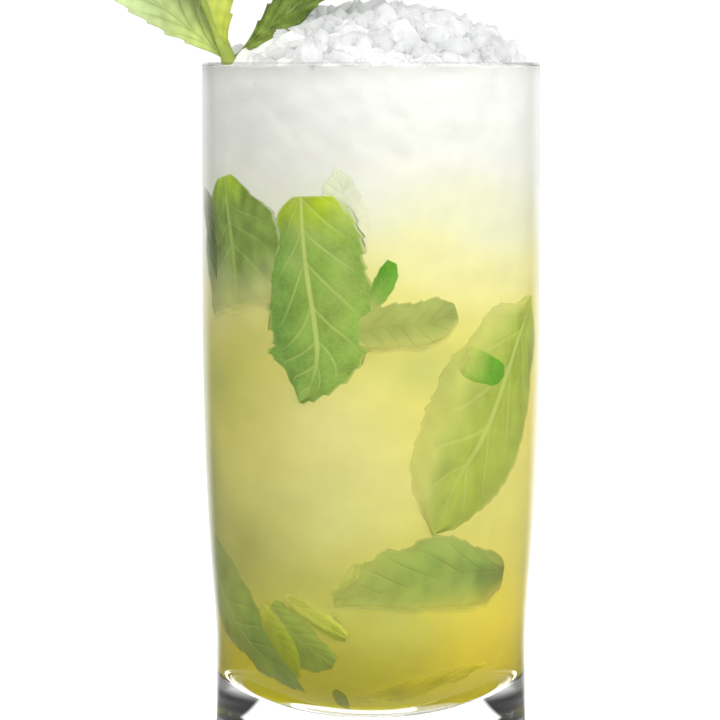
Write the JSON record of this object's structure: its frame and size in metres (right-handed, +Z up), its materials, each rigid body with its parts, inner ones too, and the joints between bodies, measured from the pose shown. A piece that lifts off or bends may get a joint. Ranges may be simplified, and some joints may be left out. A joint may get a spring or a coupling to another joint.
{
  "type": "mojito cocktail in a highball glass",
  "caption": "Tall heavy-based glass of cloudy lime and mint drink, heaped with crushed ice above the rim, with a mint sprig standing in the ice at the wall.",
  "frame": {"origin": "centre of the glass's flat foot, on the surface it stands on", "axes": "+Z up along the glass's axis; -Y is the front, and the mint sprig stands at the -X side"},
  "size_m": [0.1025, 0.068, 0.1831],
  "materials": {
    "glass": "clear, polished",
    "drink": "cloudy yellow-green liquid",
    "ice": "wet, frosty, white",
    "mint": "satin leaf, with veins"
  },
  "bodies": {
    "root": {"glass": "glass", "drink": "drink", "crushed_ice": "ice", "mint_sprig": "mint"}
  },
  "joints": []
}
